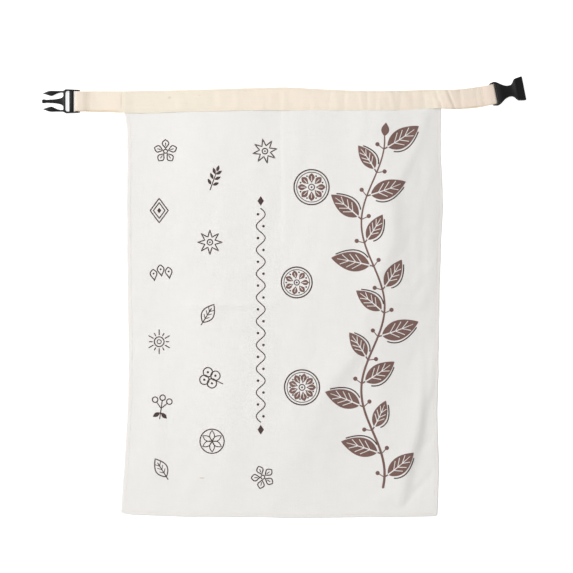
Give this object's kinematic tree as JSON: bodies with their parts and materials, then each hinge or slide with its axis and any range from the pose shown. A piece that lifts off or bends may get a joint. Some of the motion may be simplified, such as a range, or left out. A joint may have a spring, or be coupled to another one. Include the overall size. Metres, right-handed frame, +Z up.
{
  "type": "roll-top bread bag",
  "caption": "Flat off-white cloth bag with a cream cotton tape across its mouth and a black side-release buckle half at each end of the tape.",
  "frame": {"origin": "on the surface that the bag lies on, under the middle of its outline seen from above", "axes": "+X across the bag towards the socket half of the buckle, +Y from the foot to the mouth, +Z up out of the surface, from the back panel to the front"},
  "size_m": [0.4579, 0.4178, 0.0103],
  "materials": {
    "cloth": "off-white plain weave, matt, lightly creased",
    "print": "brown ink printed on the cloth, matt",
    "tape": "cream cotton tape, matt, sewn along both edges",
    "thread": "ecru sewing thread",
    "plastic": "black moulded plastic, satin"
  },
  "bodies": {
    "root": {"front_panel": "cloth", "back_panel": "cloth", "mouth_tape": "tape", "buckle_prong": "plastic", "buckle_socket": "plastic"}
  },
  "joints": []
}
